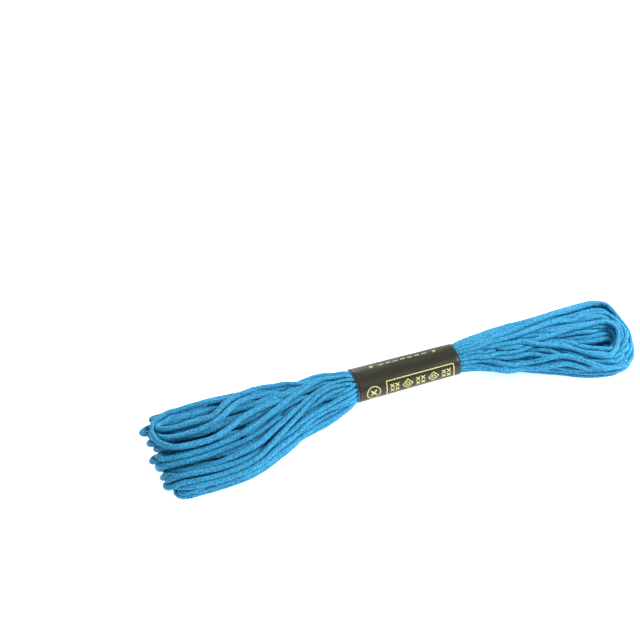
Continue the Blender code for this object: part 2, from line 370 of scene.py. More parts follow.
# %% Lay the thread
def laid_thread():
    """The whole thread, from the middle of the band round every loop and back into the band."""
    middle = len(LEG_X) // 2
    line = [leg_line(0, TOP)[middle:middle + 1]]
    for loop in range(LOOPS):
        top, turn, under = right_turn(loop, leg_line(loop, TOP), leg_line(loop, UNDER))
        following = leg_line((loop + 1) % LOOPS, TOP)
        line += [top[middle if loop == 0 else 0:], turn, under]
        line.append(half_turn(under[-1], following[0], LEFT_END, left_reach(loop)))
    line.append(leg_line(0, TOP)[:middle])
    return np.concatenate(line)


def resampled(line, spacing):
    """The same line with even steps."""
    along = np.concatenate([[0], np.cumsum(np.linalg.norm(np.diff(line, axis=0), axis=1))])
    even = np.linspace(0, along[-1], int(along[-1] / spacing) + 1)
    return np.stack([np.interp(even, along, line[:, axis]) for axis in range(3)], 1)


lanes = resampled(laid_thread(), STEP)
print(f"{len(lanes)} points, {len(lanes) * STEP / 1000:.2f} m of floss")

# %% [markdown]
# No lane is straight and no floss is even. A slow wander moves each pass round an end aside by about a
# millimetre, and another makes the floss a few per cent thicker here and thinner there. Plain random
# numbers would shiver, so they are blurred along the thread first.

# %% Drift and uneven floss
DRIFT_LENGTH = 13.0
DRIFT_SIZE = np.array([0.2, 0.9, 0.55])
DRIFT_STARTS, DRIFT_FULL = 15.5, 27.0
LONGEST_PASS = 240  # every pass draws this often, so that its length doesn't change the luck of the next
UNEVEN = 0.045
UNEVEN_LENGTH = 6.0
SIZE_DICE = np.random.default_rng(8)


def floss_size(line):
    """The floss's diameter at each point: from the table along the legs, and drawn thinner round the tips."""
    size = column("floss", line[:, 0])
    for end, turn in ((LEFT_END, LEFT_TURN), (RIGHT_END, RIGHT_TURN)):
        size = size + (end.floss - size) * smooth_step(line[:, 0], turn, end.outer_reach)
    return size


def slow_noise(dice, count, length):
    """Random numbers that change slowly along the thread, about one in size."""
    half = int(3 * length / STEP)  # a bell curve has all but died out at three times its width
    kernel = np.exp(-0.5 * (np.arange(-half, half + 1) * STEP / length) ** 2)
    return np.convolve(dice.normal(size=count), kernel / math.sqrt((kernel**2).sum()), "same")


def drift(line):
    """A slow random wander on each pass round an end, none of it inside the band."""
    wander = np.zeros_like(line)
    passes = np.split(np.arange(len(line)), np.flatnonzero(np.diff(line[:, 0] < 0)) + 1)
    for part in passes:
        dice = LEFT_DICE if line[part[0], 0] < 0 else RIGHT_DICE
        for axis in range(3):
            wander[part, axis] = slow_noise(dice, LONGEST_PASS, DRIFT_LENGTH)[:len(part)]
    loose = smooth_step(np.abs(line[:, 0]), DRIFT_STARTS, DRIFT_FULL)
    return wander * loose[:, None] * DRIFT_SIZE


lanes += drift(lanes)
uneven = slow_noise(SIZE_DICE, len(lanes), UNEVEN_LENGTH)
size = floss_size(lanes) * (1 + UNEVEN * uneven)
print(f"the floss is {size.min():.2f} to {size.max():.2f} mm thick")

# %% [markdown]
# ## Pushed apart
#
# Laid like this the thread runs through itself in a thousand places. Cloth solvers are slow at this, so the
# points are treated as soft beads: every pair that is too close is pushed apart, each bead is drawn gently
# back to its lane, and the line is kept from kinking. The table top and the paper band push too.
#
# Comparing every bead with every other would take minutes. So the beads are sorted into cubes first, and
# only beads in the same cube or in neighbouring ones are compared.

# %% Find the close pairs
HALF_NEIGHBOURS = [(0, 0, 0)] + [
    (dx, dy, dz) for dx in (-1, 0, 1) for dy in (-1, 0, 1) for dz in (-1, 0, 1) if (dx, dy, dz) > (0, 0, 0)
]


def close_pairs(points, reach):
    """The index of both points of every pair that is closer than the reach."""
    cell = np.floor((points - points.min(axis=0)) / reach).astype(np.int64) + 1
    wide, tall = cell[:, 1].max() + 2, cell[:, 2].max() + 2
    key = (cell[:, 0] * wide + cell[:, 1]) * tall + cell[:, 2]
    order = np.argsort(key, kind="stable")
    sorted_key = key[order]
    here = np.arange(len(points))
    firsts, seconds = [], []
    for dx, dy, dz in HALF_NEIGHBOURS:
        wanted = sorted_key + (dx * wide + dy) * tall + dz
        start = np.searchsorted(sorted_key, wanted, "left")
        stop = np.searchsorted(sorted_key, wanted, "right")
        if (dx, dy, dz) == (0, 0, 0):
            start = here + 1
        count = np.maximum(stop - start, 0)
        first = np.repeat(here, count)
        second = np.arange(count.sum()) - np.repeat(np.cumsum(count) - count, count) + np.repeat(start, count)
        firsts.append(order[first])
        seconds.append(order[second])
    first, second = np.concatenate(firsts), np.concatenate(seconds)
    near = ((points[first] - points[second]) ** 2).sum(axis=1) < reach**2
    return first[near], second[near]


print(f"{len(close_pairs(lanes, size.mean())[0])} pairs of beads are closer than a strand's thickness")

# %% [markdown]
# The crowd needs walls, or it would spread like spilt rice. Inside the band the wall is the paper, which is
# a little narrower at its +X end. Outside it the wall is the outline of the slice that a bead lies in.

# %% Walls for the beads
HUG = 0.8  # how firmly a bead beyond the outline is drawn back to it
BAND_ROOM = (4.66, 3.71)  # half the width and half the height of the floss, a little inside the paper
BAND_HALF_LENGTH = (band_high[0] - band_low[0]) / 2 / MM
BAND_FLARE = 0.035  # the share by which the -X end is wider than the middle, and the +X end narrower
BAND_MOUTH = 0.5  # the paper's wall holds the floss a little way past its ends


def kept_in_band(points, radius):
    """Points inside the band, drawn in until their strand is clear of the paper."""
    inside = np.abs(points[:, 0]) < BAND_HALF_LENGTH + BAND_MOUTH
    flare = 1 - BAND_FLARE * points[inside, 0] / BAND_HALF_LENGTH
    off = (points[inside, 1:] - BAND_MID[1:]) / (np.outer(flare, BAND_ROOM) - radius[inside, None])
    far = np.maximum(1, np.linalg.norm(off, axis=1))
    points[inside, 1:] = BAND_MID[1:] + (points[inside, 1:] - BAND_MID[1:]) / far[:, None]


def place_in_section(points, radius):
    """Where points lie in the slice through them, as shares of its half width and half height."""
    x = points[:, 0]
    tilt = np.radians(column("tilt", x))
    y, z = points[:, 1] - column("mid_y", x), points[:, 2] - column("mid_z", x)
    across = (y * np.cos(tilt) + z * np.sin(tilt)) / (column("half_width", x) - radius)
    lift = (z * np.cos(tilt) - y * np.sin(tilt)) / (column("half_height", x) - radius)
    squareness = column("squareness", x)
    return (np.abs(across) ** squareness + np.abs(lift) ** squareness) ** (1 / squareness)


def kept_in_section(points, radius, allowed):
    """Points that the crowd has pushed outside the hank's outline, drawn back to it."""
    beyond = place_in_section(points, radius) / allowed
    back = np.where(beyond > 1, 1 - HUG * (1 - 1 / np.maximum(beyond, 1)), 1)
    for axis, name in ((1, "mid_y"), (2, "mid_z")):
        middle = column(name, points[:, 0])
        points[:, axis] = middle + (points[:, axis] - middle) * back


print(f"the band is {2 * BAND_HALF_LENGTH:.1f} mm long, with room for {2 * BAND_ROOM[0]:.1f} mm of floss")

# %% [markdown]
# Now the beads are moved, a little at a time. Where two strands run through each other, each moves away by
# half of the overlap, and near ones by a little, so that the crowd spreads evenly. The tips and the strays
# are held to their lanes more firmly than the rest, because the eye knows them from the real skein.

# %% Relax the thread
RELAX_STEPS = 240
PAIRS_EVERY = 8  # steps between two searches for close pairs
PAIR_MARGIN = 0.2  # a search reaches this much further, because beads move before the next one
SAME_STRAND = 4  # beads this near along the thread are one strand and don't push each other
SQUASH = 0.93  # strands that touch are pressed to this share of their thickness
TOUCH_SHARE = 0.45  # a bead pushed from many sides moves less for each push
TIGHT = 0.1  # overlaps above this share of the thickness are counted at the end
SPREAD, SPREAD_REACH = 0.03, 1.5  # how firmly strands are spread, and within how many thicknesses
HOLD, TIP_HOLD = 0.02, 0.10  # how firmly a bead is drawn back to its lane, on the legs and at the tips
LEFT_TIP, RIGHT_TIP = (62, 70), (46, 54)  # where the firmer hold comes in, from the band's middle
STRAY_OUTSIDE = (1.02, 1.10)  # and how far outside the outline a stray's lane gets it too
STIFF_PASSES = 2


def relaxed(points, size):
    """The beads after all steps: pushed apart, held to their lanes, smoothed and kept inside the walls."""
    lanes, points = points, points.copy()
    count = len(points)
    radius = size / 2
    allowed = np.maximum(1, place_in_section(lanes, radius))
    at_tip = np.maximum(smooth_step(-lanes[:, 0], *LEFT_TIP), smooth_step(lanes[:, 0], *RIGHT_TIP))
    is_stray = smooth_step(allowed, *STRAY_OUTSIDE)
    hold = HOLD + (TIP_HOLD - HOLD) * np.maximum(at_tip, is_stray)
    for step in range(RELAX_STEPS):
        if step % PAIRS_EVERY == 0:
            first, second = close_pairs(points, SPREAD_REACH * size.max() + PAIR_MARGIN)
            apart = np.abs(first - second) > SAME_STRAND
            first, second = first[apart], second[apart]
            room = (radius[first] + radius[second]) * SQUASH
        gap = points[first] - points[second]
        distance = np.sqrt((gap**2).sum(axis=1)) + 1e-9
        over = np.maximum(room - distance, 0)
        crowd = np.maximum(SPREAD_REACH * room - distance, 0)
        push = gap * ((0.5 * over + SPREAD * crowd) / distance)[:, None]
        move = np.stack([np.bincount(first, push[:, axis], count) - np.bincount(second, push[:, axis], count)
                         for axis in range(3)], 1)
        touching = (over > 0).astype(float)
        touches = np.bincount(first, touching, count) + np.bincount(second, touching, count)
        points += move / np.maximum(1, TOUCH_SHARE * touches)[:, None]
        points += hold[:, None] * (lanes - points)
        for _ in range(STIFF_PASSES):
            bend = points[:-4] - 4 * points[1:-3] + 6 * points[2:-2] - 4 * points[3:-1] + points[4:]
            points[2:-2] -= bend / 16  # the finest kink, of one bead up and one down, goes in one pass
        kept_in_section(points, radius, allowed)
        kept_in_band(points, radius)
        points[:, 2] = np.maximum(points[:, 2], radius)
    tight = int((over > TIGHT * room).sum())
    print(f"relaxed in {RELAX_STEPS} steps, {tight} of {len(over)} pairs still tight")
    return points


thread = relaxed(lanes, size)

# %% [markdown]
# ## Six plies
#
# The floss is six fine threads lying side by side with a slow twist. Six tubes would be true, but they
# would need six times the faces, and at this distance only their grooves show. So each slice of the strand
# is one ring with six rounded lobes, and turning that ring a little from slice to slice winds them round
# each other.

# %% Slice the thread
PLIES = 6
LOBE = (0.86, 0.965, 1.0, 0.965)  # the corners of one ply, from the groove over its crest
ROUND = PLIES * len(LOBE)
PLY_PITCH = 24.0  # one full turn of the six threads, in mm
SLICE = 0.85
Slices = namedtuple("Slices", "line radius along ring")


def curve_between(points, at):
    """A smooth curve through the points, read at fractions of their index."""
    i = np.clip(at.astype(int), 1, len(points) - 3)
    t = (at - i)[:, None]
    a, b, c, d = (points[i + k] for k in (-1, 0, 1, 2))
    return 0.5 * (2 * b + (c - a) * t + (2 * a - 5 * b + 4 * c - d) * t**2 + (3 * b - a - 3 * c + d) * t**3)


def carried_frames(line):
    """Three directions for each point of the line, carried along it without spinning."""
    ahead = np.gradient(line, axis=0)
    ahead /= np.linalg.norm(ahead, axis=1)[:, None]
    side = np.empty_like(line)
    current = np.cross(ahead[0], [0.0, 0.0, 1.0])
    for i, direction in enumerate(ahead):
        current = current - direction * current.dot(direction)
        current = current / math.sqrt(current.dot(current))
        side[i] = current
    return ahead, side, np.cross(ahead, side)


def sliced(thread, size):
    """Slices along the thread, each with the directions of its ring of corners."""
    at = np.arange(1, len(thread) - 2, SLICE / STEP)
    line = curve_between(thread, at)
    radius = np.interp(at, np.arange(len(size)), size) / 2
    ahead, side, up = carried_frames(line)
    along = at * STEP
    angle = np.arange(ROUND) / ROUND * math.tau + along[:, None] / PLY_PITCH * math.tau
    ring = np.cos(angle)[..., None] * side[:, None] + np.sin(angle)[..., None] * up[:, None]
    return Slices(line, radius, along, ring), ahead


slices, ahead = sliced(thread, size)
print(f"{len(slices.line)} slices of {ROUND} corners")

# %% [markdown]
# ## Pressed together
#
# Round tubes lying side by side look like plastic cord. Cotton gives: two strands that touch share a flat.
# So each corner of each ring is stopped halfway to any neighbouring strand, and the free sides are left a
# little fuller. That closes the wide grooves to the fine dark lines that a skein shows.

# %% Press the strands
FULLER = 1.02
HAIR = 0.96  # a hair's breadth stays open between two strands
NEIGHBOUR_REACH = 2.3  # how far off neighbours are sought, in times the largest radius
SAME_LEVEL = 0.7  # and how far from the plane of the ring, in slices
FACING_LEAST = 0.15  # a corner that faces its neighbour less than this is as good as free
NO_LIMIT = 10.0
FLATTEST = 0.45  # no corner is pressed below this share of the radius
LOOKS_FLAT = 0.8
BLUR_ROUNDS = 2


def pressed(slices, ahead):
    """The radius of every corner, stopped at the plane between its strand and each neighbour."""
    first, second = close_pairs(slices.line, NEIGHBOUR_REACH * slices.radius.max())
    apart = np.abs(first - second) > SAME_STRAND * STEP / SLICE
    first, second = first[apart], second[apart]
    here, there = np.concatenate([first, second]), np.concatenate([second, first])
    gap = slices.line[there] - slices.line[here]
    off_plane = (gap * ahead[here]).sum(axis=1)
    level = np.abs(off_plane) < SAME_LEVEL * SLICE
    here, there, gap, off_plane = here[level], there[level], gap[level], off_plane[level]
    gap = gap - off_plane[:, None] * ahead[here]
    distance = np.linalg.norm(gap, axis=1) + 1e-6
    share = slices.radius[here] / (slices.radius[here] + slices.radius[there])
    facing = np.einsum("nkj,nj->nk", slices.ring[here], gap / distance[:, None])
    stop = (share * distance)[:, None] * HAIR / np.maximum(facing, FACING_LEAST)
    limit = np.full(slices.ring.shape[:2], NO_LIMIT)
    np.minimum.at(limit, here, stop)
    full = slices.radius[:, None] * FULLER
    limit = np.clip(limit, FLATTEST * full, full)
    for _ in range(BLUR_ROUNDS):
        limit[1:-1] = 0.25 * limit[:-2] + 0.5 * limit[1:-1] + 0.25 * limit[2:]
        limit = 0.2 * np.roll(limit, 1, axis=1) + 0.6 * limit + 0.2 * np.roll(limit, -1, axis=1)
    return limit * np.tile(LOBE, PLIES)[None, :]


corner_radius = pressed(slices, ahead)
flattened = (corner_radius.min(axis=1) < LOOKS_FLAT * slices.radius).mean()
print(f"{100 * flattened:.0f}% of the slices are flattened by a neighbour")

# %% [markdown]
# ## Four pieces
#
# One mesh holds a quarter of the thread, cut inside the band where nobody sees it. Its UV map keeps the way
# round and the way along in millimetres, so the material can draw each thread's own fine twist at true
# size.

# %% Build the strands
PIECES = 4
ORIGIN = (band_low + band_high) / 2 - BAND_MID * MM


def strand_mesh(name, first, last):
    """A closed tube from one slice to another, with a UV map in millimetres."""
    line, along = slices.line[first:last], slices.along[first:last]
    corners = line[:, None] + corner_radius[first:last, :, None] * slices.ring[first:last]
    count = len(line)
    points = np.concatenate([corners.reshape(-1, 3), line[:1], line[-1:]]) * MM + ORIGIN
    grid = np.arange(count * ROUND).reshape(count, ROUND)
    following = np.roll(grid, -1, axis=1)
    quads = np.stack([grid[:-1], following[:-1], following[1:], grid[1:]], -1).reshape(-1, 4)
    start, stop = np.full(ROUND, count * ROUND), np.full(ROUND, count * ROUND + 1)
    caps = np.concatenate([
        np.stack([following[0], grid[0], start], 1),
        np.stack([grid[-1], following[-1], stop], 1)])
    corner_index = np.concatenate([quads.ravel(), caps.ravel()])
    face_size = np.concatenate([np.full(len(quads), 4), np.full(len(caps), 3)])
    mesh = bpy.data.meshes.new(name)
    mesh.vertices.add(len(points))
    mesh.vertices.foreach_set("co", points.ravel())
    mesh.loops.add(len(corner_index))
    mesh.loops.foreach_set("vertex_index", corner_index)
    mesh.polygons.add(len(face_size))
    mesh.polygons.foreach_set("loop_start", np.concatenate([[0], np.cumsum(face_size)[:-1]]))
    mesh.polygons.foreach_set("use_smooth", np.ones(len(face_size), bool))
    mesh.update(calc_edges=True)
    lay = np.zeros((len(corner_index), 2))
    step = np.arange(ROUND)
    across = np.stack([step, step + 1, step + 1, step], 1) * PLIES / ROUND
    lay[: quads.size, 0] = np.broadcast_to(across[None], (count - 1, ROUND, 4)).reshape(-1)
    forward = np.stack([along[:-1], along[:-1], along[1:], along[1:]], 1)
    lay[: quads.size, 1] = np.broadcast_to(forward[:, None], (count - 1, ROUND, 4)).reshape(-1)
    mesh.uv_layers.new(name="lay").data.foreach_set("uv", lay.ravel())
    mesh.validate()
    obj = bpy.data.objects.new(name, mesh)
    bpy.context.scene.collection.objects.link(obj)
    return obj


def build_strands():
    """Four meshes, cut where the thread passes the middle of the band."""
    in_band = np.where(np.abs(slices.line[:, 0]) < 1.5 * SLICE)[0]
    even = np.linspace(0, len(slices.line), PIECES + 1)
    cuts = [0] + [int(in_band[np.abs(in_band - cut).argmin()]) for cut in even[1:-1]] + [len(slices.line) - 1]
    return [strand_mesh(f"floss_turns_{n + 1}", a, b + 1) for n, (a, b) in enumerate(zip(cuts, cuts[1:]))]


strands = build_strands()
print("triangles:", [sum(len(p.vertices) - 2 for p in obj.data.polygons) for obj in strands])

# %% [markdown]
# ## The paper band
#
# The band is a strip of coated paper, glued into a sleeve with its ends overlapping underneath. So it is
# built as a strip: one direction runs along the skein, the other winds round it, and where the strip meets
# itself it lies on top. A distance round the strip is a true distance on the paper, which makes the
# printing easy.

# %% The band's outline
PAPER = 0.19
BAND_HALF_WIDTH, BAND_HALF_HEIGHT, BAND_SQUARENESS = 4.95, 4.0, 2.4
SEAM_ANGLE = math.radians(-62)
ROUND_TABLE = 720


def band_outline():
    """The sleeve's outline in the middle of the band as a table: distance round, y and z in millimetres."""
    angle = SEAM_ANGLE + np.linspace(0, math.tau, ROUND_TABLE + 1)
    across, up = np.cos(angle), np.sin(angle)
    out = (np.abs(across) ** BAND_SQUARENESS + np.abs(up) ** BAND_SQUARENESS) ** (-1 / BAND_SQUARENESS)
    y, z = BAND_HALF_WIDTH * across * out, BAND_HALF_HEIGHT * up * out
    along = np.concatenate([[0], np.cumsum(np.hypot(np.diff(y), np.diff(z)))])
    return along, y, z


ALONG, OUTLINE_Y, OUTLINE_Z = band_outline()
GIRTH = ALONG[-1]
print(f"once round the band is {GIRTH:.1f} mm")

# %% The strip
OVERLAP = 5.0
TUCK = 1.15 * PAPER  # how far the end underneath lies inside the other
TUCK_ENDS = (0.8, 1.15)  # the shares of the overlap between which it comes out again
DENT = 0.05  # a hand leaves shallow dents in paper
DENT_WAVES = ((0.23, 0.9, 0.0), (0.31, -0.55, 1.0))  # the change for each mm along and round, and the start
SHEET_COLUMNS, SHEET_ROWS = 40, 132


def on_paper(x, s, lift=0.0):
    """The point of the paper's printed side at x along the skein and s round it, in millimetres."""
    x, s = np.broadcast_arrays(np.asarray(x, float), np.asarray(s, float))
    y, z = np.interp(s % GIRTH, ALONG, OUTLINE_Y), np.interp(s % GIRTH, ALONG, OUTLINE_Z)
    inwards = np.hypot(y, z)
    under_itself = TUCK * (1 - smooth_step(s, OVERLAP * TUCK_ENDS[0], OVERLAP * TUCK_ENDS[1]))
    one, other = (np.sin(along * x + around * s + start) for along, around, start in DENT_WAVES)
    dent = DENT * one * other
    flare = 1 - BAND_FLARE * x / BAND_HALF_LENGTH
    scale = flare + (lift - under_itself - np.abs(dent)) / inwards
    return np.stack([x, y * scale, BAND_MID[2] + z * scale], -1)


def sheet_mesh(name, x_steps, s_steps):
    """The strip as a thin closed sheet: printed side out, white side in, and cut edges between them."""
    grid_s, grid_x = np.meshgrid(s_steps, x_steps)
    sides = [on_paper(grid_x, grid_s, lift).reshape(-1, 3) for lift in (0.0, -PAPER)]
    rows, columns = grid_x.shape
    count = rows * columns
    index = np.arange(count).reshape(rows, columns)
    cells = np.stack([index[:-1, :-1], index[:-1, 1:], index[1:, 1:], index[1:, :-1]], -1).reshape(-1, 4)
    rim = np.concatenate([index[0, :], index[1:, -1], index[-1, -2::-1], index[-2:0:-1, 0]])
    rim_next = np.roll(rim, -1)
    edges = np.stack([rim, rim + count, rim_next + count, rim_next], -1)
    faces = np.concatenate([cells, cells[:, ::-1] + count, edges])
    mesh = bpy.data.meshes.new(name)
    mesh.from_pydata((np.concatenate(sides) * MM + ORIGIN).tolist(), [], faces.tolist())
    mesh.polygons.foreach_set("material_index", (np.arange(len(faces)) >= len(cells)).astype(int))
    mesh.polygons.foreach_set("use_smooth", np.arange(len(faces)) < 2 * len(cells))
    return mesh


x_steps = np.linspace(-BAND_HALF_LENGTH, BAND_HALF_LENGTH, SHEET_COLUMNS)
s_steps = np.linspace(0, GIRTH + OVERLAP, SHEET_ROWS)
band_mesh = sheet_mesh("label_band_paper", x_steps, s_steps)
band = bpy.data.objects.new("label_band_paper", band_mesh)
bpy.context.scene.collection.objects.link(band)
print(f"the strip is {GIRTH + OVERLAP:.1f} mm long and {2 * BAND_HALF_LENGTH:.1f} mm wide")

# %% [markdown]
# ## The printing
#
# Pale gold ink on black: a frame of diamonds and cross stitches on the front, a stitch in a ring beside it,
# and a row of running stitches along the top. An image on the paper would do, but its pixels would show in
# a close view. So each line is a ribbon about a quarter of a millimetre wide, laid a hair above the paper
# and cut into short steps so that it bends with the sleeve.

# %% Ribbons of ink
INK_LIFT = 0.015
LINE = 0.28
RIBBON_STEP = 0.35
FRONT_UP, TOP_BACK = 0.6, 1.8  # the front's printing lies above the band's middle, the top's behind it


def place_round(y, z):
    """The distance round the paper of the outline's point nearest to y, z from the band's middle."""
    return float(ALONG[np.hypot(OUTLINE_Y - y, OUTLINE_Z - z).argmin()])


def ribbon(path, width):
    """A line on the paper through (x, s) points, as rows of left and right edge points."""
    path = np.asarray(path, float)
    steps = [path[:1]]
    for a, b in zip(path, path[1:]):
        count = max(1, int(np.linalg.norm(b - a) / RIBBON_STEP))
        steps.append(a + (b - a) * np.linspace(0, 1, count + 1)[1:, None])
    path = np.concatenate(steps)
    ahead = np.gradient(path, axis=0)
    ahead /= np.linalg.norm(ahead, axis=1)[:, None]
    aside = np.stack([-ahead[:, 1], ahead[:, 0]], 1) * width / 2
    return path - aside, path + aside


def print_mesh(name, lines):
    """All ribbons as one mesh; lines is a list of (points, width)."""
    points, faces = [], []
    for path, width in lines:
        both = np.stack(ribbon(path, width), 1).reshape(-1, 2)
        first = len(points)
        points.extend((on_paper(both[:, 0], both[:, 1], INK_LIFT) * MM + ORIGIN).tolist())
        for i in range(first, len(points) - 2, 2):
            faces.append((i, i + 2, i + 3, i + 1))
    mesh = bpy.data.meshes.new(name)
    mesh.from_pydata(points, [], faces)
    mesh.polygons.foreach_set("use_smooth", np.ones(len(faces), bool))
    return mesh


front, top = place_round(-BAND_HALF_WIDTH, FRONT_UP), place_round(TOP_BACK, BAND_HALF_HEIGHT)
print(f"the front is {front:.1f} mm and the top {top:.1f} mm round the paper from its seam")

# %% Print the band
FRAME_LEFT, FRAME_RIGHT, FRAME_HALF_HEIGHT = -7.2, 13.4, 2.5
MOTIFS, MOTIF_MARGIN = 5, 2.4
DIAMONDS = (3.1, 1.3)
FOUR_APART, FOUR_SIZE, FOUR_LINE = 0.78, 1.1, 0.3
RING_X, RING_RADIUS, RING_POINTS = -11.2, 2.0, 33
RING_STITCH, RING_STITCH_LINE = 1.7, 0.42
DASH_X, DASH_HALF, DASH_LINE = np.arange(-6.6, 6.7, 2.2), 0.7, 0.3
END_STITCH_X, END_STITCH, END_STITCH_LINE = 9.6, 0.9, 0.25


def ring(x, s, radius):
    turn = np.linspace(0, math.tau, RING_POINTS)
    return [(np.stack([x + radius * np.cos(turn), s + radius * np.sin(turn)], 1), LINE)]


def cross_stitch(x, s, size, width):
    half = size / 2
    return [([(x - half, s - half), (x + half, s + half)], width),
            ([(x - half, s + half), (x + half, s - half)], width)]


def diamond(x, s, size):
    half = size / 2
    return [([(x - half, s), (x, s + half), (x + half, s), (x, s - half), (x - half, s)], LINE)]


def four_stitches(x, s, apart):
    """Four small cross stitches in a square."""
    return [line for dx in (-apart, apart) for ds in (-apart, apart)
            for line in cross_stitch(x + dx, s + ds, FOUR_SIZE, FOUR_LINE)]


def printed_lines():
    """Every printed line: the frame with its motifs, the ring beside it, and the stitches on top."""
    left, right = FRAME_LEFT, FRAME_RIGHT
    upper, lower = front - FRAME_HALF_HEIGHT, front + FRAME_HALF_HEIGHT
    lines = [([(left, upper), (right, upper), (right, lower), (left, lower), (left, upper)], LINE)]
    for n, x in enumerate(np.linspace(left + MOTIF_MARGIN, right - MOTIF_MARGIN, MOTIFS)):
        if n % 2:
            lines += diamond(x, front, DIAMONDS[0]) + diamond(x, front, DIAMONDS[1])
        else:
            lines += four_stitches(x, front, FOUR_APART)
    lines += ring(RING_X, front, RING_RADIUS)
    lines += cross_stitch(RING_X, front, RING_STITCH, RING_STITCH_LINE)
    for x in DASH_X:
        lines.append(([(x - DASH_HALF, top), (x + DASH_HALF, top)], DASH_LINE))
    for x in (-END_STITCH_X, END_STITCH_X):
        lines += cross_stitch(x, top, END_STITCH, END_STITCH_LINE)
    return lines


ink_mesh = print_mesh("label_band_print", printed_lines())
ink = bpy.data.objects.new("label_band_print", ink_mesh)
bpy.context.scene.collection.objects.link(ink)
print(f"{len(ink_mesh.polygons)} faces of ink")

# %% [markdown]
# ## Materials
#
# Colours are typed as sRGB hex, as a picker shows them, and one function turns them to linear light. A
# second small function adds any node with its settings and its links. Patterns are made in space, not from
# images, so each has a grain in millimetres, and a third function turns that into a noise node's scale.

# %% Colour and node helpers
def linear(hex_colour):
    """An sRGB hex colour as linear RGBA."""
    parts = [int(hex_colour[i:i + 2], 16) / 255 for i in (1, 3, 5)]
    return tuple(c / 12.92 if c <= 0.04045 else ((c + 0.055) / 1.055) ** 2.4 for c in parts) + (1.0,)


def add_node(tree, kind, settings=None, **inputs):
    """One node with its settings and inputs, which are values or other nodes' sockets; i0 is input 0."""
    node = tree.nodes.new(kind)
    for name, value in (settings or {}).items():
        setattr(node, name, value)
    for name, value in inputs.items():
        numbered = name[0] == "i" and name[1:].isdigit()
        socket = node.inputs[int(name[1:]) if numbered else name.replace("_", " ")]
        if isinstance(value, bpy.types.NodeSocket):
            tree.links.new(value, socket)
        else:
            socket.default_value = value
    return node


def grain_scale(millimetres):
    """A noise node's scale, in turns for each metre, for a grain of this size."""
    return 1 / (millimetres * MM)


def new_material(name):
    material = bpy.data.materials.new(name)
    material.use_nodes = True
    return material, material.node_tree, material.node_tree.nodes["Principled BSDF"]


print("a mid grey is", [round(c, 3) for c in linear("#808080")[:3]], "in linear light")

# %% [markdown]
# Embroidery floss is mercerised cotton: spun, washed in lye so that the fibres swell and shine, and then
# dyed. To the eye it is satin rather than matt, and a little light passes from one fibre to the next, so
# the shadows stay blue. Its colour is painted darker in its grooves, as painted shade, and paler on its
# crests, as painted highlight. Each of the six threads is itself two finer ones twisted: that twist is a
# ridge that runs askew round the strand, drawn from the UV map. A single fibre is about a hundredth of a
# millimetre thick and too fine to show, so the grain of the fibres is drawn at nearly half a millimetre,
# as coarse as it needs to show, and its random specks of lighter and darker colour are the cotton's own.

# %% Mercerised cotton
TWIST_PITCH = 0.75  # from one ridge to the next along a thread, in mm
TWIST_DRIFT_GRAIN = 1.4286
TWIST_DRIFT = 2.2  # the ridges wander by up to this many pitches
FIBRE_GRAIN = 0.4348
FIBRE_DEPTH = 2.2
RIDGE_HEIGHT = 0.14
# The colour runs from the deep one to the pale one as the ridges and fibre grain rise: painted shade in the
# grooves and painted highlight on the crests, over the dye and the grain's own specks.
SHADE_BLEND_FROM, SHADE_BLEND_TO = 0.85, 1.85
DYE_WITH_GROOVE_SHADE, DYE_WITH_CREST_HIGHLIGHT, SHEEN_TINT = "#065F90", "#3FB3DE", "#C8E4F4"
LIGHT_TRAVELS = 0.9  # how far light gets in cotton before it comes out again, in mm


